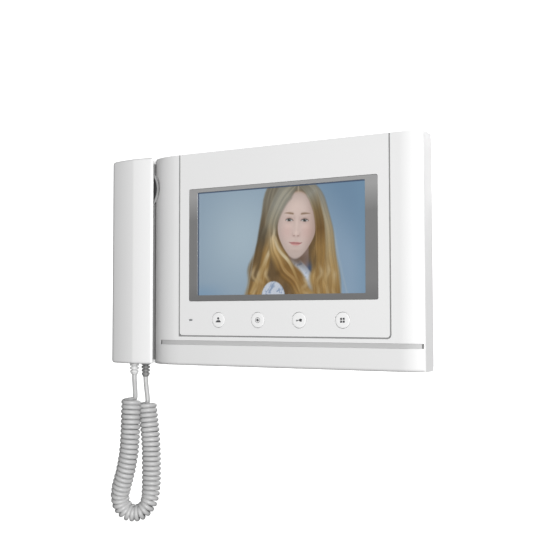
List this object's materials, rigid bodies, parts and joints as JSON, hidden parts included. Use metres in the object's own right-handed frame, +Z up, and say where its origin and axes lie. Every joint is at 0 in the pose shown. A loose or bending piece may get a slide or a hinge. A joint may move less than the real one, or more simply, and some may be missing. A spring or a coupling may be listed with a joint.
{
  "type": "video intercom monitor",
  "caption": "Wall-hung video intercom monitor: flat display in a grey frame, round keys, a handset in a side cradle and a curly cord, on a hook-on steel bracket.",
  "frame": {"origin": "centre of the rectangle of wall screw holes, on the wall plane at the back of the bracket", "axes": "+X right seen from the front, +Z up, -Y out of the wall towards the user"},
  "size_m": [0.2951, 0.0335, 0.3257],
  "materials": {
    "bracket_steel": "zinc plated, satin",
    "case_grey": "fine grained moulded plastic",
    "white_cover": "smooth satin white moulded plastic",
    "white_panel": "smooth satin white sheet",
    "white_handset": "smooth glossy white moulded plastic",
    "bezel_grey": "satin grey paint",
    "clear_window": "clear acrylic",
    "lcd_glass": "display glass",
    "inner_steel": "bare pressed steel",
    "backlight_white": "white diffuser",
    "ribbon_orange": "polyimide film",
    "board_green": "solder mask",
    "chip_black": "moulded epoxy",
    "can_silver": "smooth can",
    "capacitor_blue": "shrink sleeve",
    "relay_blue": "moulded case",
    "coil_copper": "varnished copper wire",
    "terminal_green": "moulded nylon",
    "connector_ivory": "moulded nylon",
    "switch_black": "moulded plastic",
    "cable_grey": "flat cable",
    "led_yellow": "clear epoxy",
    "speaker_black": "moulded plastic",
    "cone_grey": "pressed paper cone",
    "rest_black": "matt black moulded plastic",
    "screw_steel": "plated steel",
    "relief_grey": "flexible moulding",
    "relief_white": "flexible moulding",
    "key_white": "smooth white plastic",
    "foam_grey": "soft foam",
    "boot_black": "soft rubber",
    "cord_white": "soft cord jacket"
  },
  "bodies": {
    "bracket": {"wall_bracket": "bracket_steel"},
    "unit": {"rear_case": "case_grey", "front_cover": "white_cover", "front_panel": "white_panel", "lower_trim": "white_cover", "display_bezel": "bezel_grey", "display_window": "clear_window", "lcd_panel": "lcd_glass", "lcd_frame": "inner_steel", "backlight": "backlight_white", "display_ribbon": "ribbon_orange", "main_board": "board_green", "processor": "chip_black", "memory_chips": "chip_black", "audio_chip": "chip_black", "crystal": "can_silver", "capacitors": "capacitor_blue", "relay": "relay_blue", "power_coil": "coil_copper", "terminal_block": "terminal_green", "line_connector": "connector_ivory", "key_board": "board_green", "key_switches": "switch_black", "key_cable": "cable_grey", "status_led": "led_yellow", "led_lens": "clear_window", "speaker_frame": "speaker_black", "speaker_cone": "cone_grey", "speaker_magnet": "can_silver", "cradle_bed": "white_cover", "ear_rest": "rest_black", "mouth_rest": "rest_black", "hook_switch": "switch_black", "case_screws": "screw_steel", "board_screws": "screw_steel", "base_relief": "relief_grey", "cord_curl": "cord_white", "cord_tail_base": "cord_white"},
    "handset": {"handset_front": "white_handset", "handset_back": "white_handset", "ear_grille": "rest_black", "mouth_grille": "rest_black", "receiver": "speaker_black", "receiver_ring": "foam_grey", "microphone": "can_silver", "mic_boot": "boot_black", "weight_bar": "inner_steel", "handset_screws": "screw_steel", "handset_relief": "relief_white", "cord_tail_handset": "cord_white"},
    "plunger": {"hook_plunger": "key_white"},
    "key_guard_body": {"key_guard": "key_white"},
    "key_light_body": {"key_light": "key_white"},
    "key_door_body": {"key_door": "key_white"},
    "key_menu_body": {"key_menu": "key_white"}
  },
  "joints": [
    {"name": "unit_lift", "type": "slide", "parent": "bracket", "child": "unit", "axis": [0, 0, 1], "range_m": [0, 0.007]},
    {"name": "handset_lift", "type": "slide", "parent": "unit", "child": "handset", "axis": [0, -1, 0], "range_m": [0, 0.07]},
    {"name": "hook_travel", "type": "slide", "parent": "unit", "child": "plunger", "axis": [0, -1, 0], "range_m": [0, 0.003]},
    {"name": "key_guard_press", "type": "slide", "parent": "unit", "child": "key_guard_body", "axis": [0, 1, 0], "range_m": [0, 0.0006], "stiffness_N_per_m": 800},
    {"name": "key_light_press", "type": "slide", "parent": "unit", "child": "key_light_body", "axis": [0, 1, 0], "range_m": [0, 0.0006], "stiffness_N_per_m": 800},
    {"name": "key_door_press", "type": "slide", "parent": "unit", "child": "key_door_body", "axis": [0, 1, 0], "range_m": [0, 0.0006], "stiffness_N_per_m": 800},
    {"name": "key_menu_press", "type": "slide", "parent": "unit", "child": "key_menu_body", "axis": [0, 1, 0], "range_m": [0, 0.0006], "stiffness_N_per_m": 800}
  ],
  "couplings": [
    {"joint": "hook_travel", "follows": "handset_lift", "ratio": 0.042857}
  ]
}
